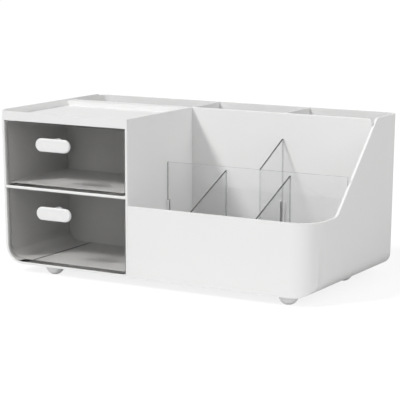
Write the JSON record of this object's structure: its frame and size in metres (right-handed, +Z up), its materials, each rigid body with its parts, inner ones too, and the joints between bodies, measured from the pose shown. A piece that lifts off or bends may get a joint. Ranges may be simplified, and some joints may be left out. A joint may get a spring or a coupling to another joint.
{
  "type": "makeup organizer",
  "caption": "Low white desk tub with a drawer tower, an open bin with sloping right wall and lift-out clear dividers, a top tray and tall rear cells, for make-up.",
  "frame": {"origin": "on the standing plane, under the middle of the whole object's box, pulls included", "axes": "+X to the right along the width, +Y to the back, +Z up; the drawers open to -Y"},
  "size_m": [0.33, 0.178, 0.1548],
  "materials": {
    "white_shell": "satin moulded",
    "white_pull": "smooth moulded",
    "smoke_drawer": "smoky see-through",
    "clear_divider": "clear polished",
    "foot_pad": "translucent soft",
    "screw_steel": "plated"
  },
  "bodies": {
    "body": {"body_shell": "white_shell", "tower_wall": "white_shell", "drawer_shelf": "white_shell", "top_tray": "white_shell", "row_wall": "white_shell", "row_divider_left": "white_shell", "row_divider_right": "white_shell", "foot_front_left": "foot_pad", "foot_front_right": "foot_pad", "foot_back_left": "foot_pad", "foot_back_right": "foot_pad"},
    "upper_drawer": {"upper_drawer": "smoke_drawer", "upper_pull": "white_pull", "upper_pull_disc": "white_pull", "upper_pull_screw": "screw_steel"},
    "lower_drawer": {"lower_drawer": "smoke_drawer", "lower_pull": "white_pull", "lower_pull_disc": "white_pull", "lower_pull_screw": "screw_steel"},
    "long_divider": {"long_divider": "clear_divider"},
    "front_divider_left": {"front_divider_left": "clear_divider"},
    "front_divider_right": {"front_divider_right": "clear_divider"},
    "rear_divider": {"rear_divider": "clear_divider"}
  },
  "joints": [
    {"name": "upper_drawer_slide", "type": "slide", "parent": "body", "child": "upper_drawer", "axis": [0, -1, 0], "range_m": [0, 0.08]},
    {"name": "lower_drawer_slide", "type": "slide", "parent": "body", "child": "lower_drawer", "axis": [0, -1, 0], "range_m": [0, 0.08]},
    {"name": "long_divider_lift", "type": "slide", "parent": "body", "child": "long_divider", "axis": [0, 0, 1], "range_m": [0, 0.11]},
    {"name": "front_divider_left_lift", "type": "slide", "parent": "body", "child": "front_divider_left", "axis": [0, 0, 1], "range_m": [0, 0.11]},
    {"name": "front_divider_right_lift", "type": "slide", "parent": "body", "child": "front_divider_right", "axis": [0, 0, 1], "range_m": [0, 0.11]},
    {"name": "rear_divider_lift", "type": "slide", "parent": "body", "child": "rear_divider", "axis": [0, 0, 1], "range_m": [0, 0.11]}
  ]
}
